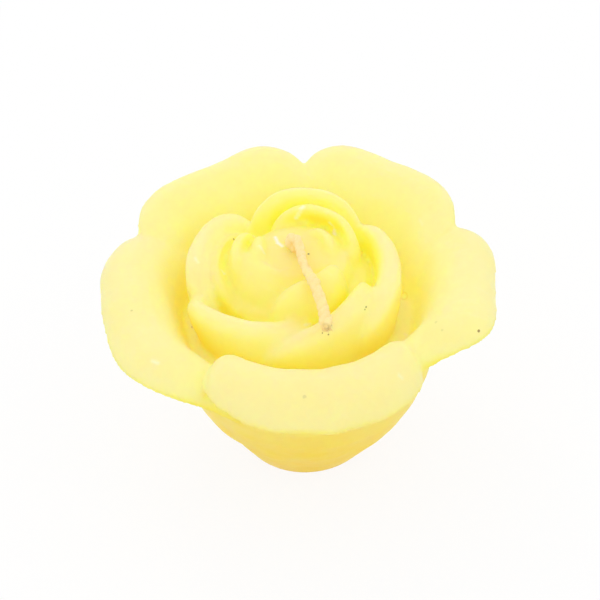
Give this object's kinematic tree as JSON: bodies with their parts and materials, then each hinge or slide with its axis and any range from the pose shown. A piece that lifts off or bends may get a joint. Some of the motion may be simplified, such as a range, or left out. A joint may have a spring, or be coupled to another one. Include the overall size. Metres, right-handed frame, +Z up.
{
  "type": "rose floating candle",
  "caption": "Rose-shaped floating candle: a cast wax bloom on a rounded bowl, with a bent cotton wick held by a flush metal foot in the flat base.",
  "frame": {"origin": "on the flat base, at the axis of the bowl", "axes": "+Z up along the bowl's axis, +X to the right and -Y towards the viewer of the picture"},
  "size_m": [0.074, 0.0705, 0.0522],
  "materials": {
    "wax": "satin yellow wax, paler and more opaque at the petal rims",
    "wick_cotton": "waxed cotton braid, brownish frayed tip",
    "tinned_metal": "dull tinned sheet"
  },
  "bodies": {
    "root": {"wax_rose": "wax", "wick": "wick_cotton", "wick_sustainer": "tinned_metal"}
  },
  "joints": []
}
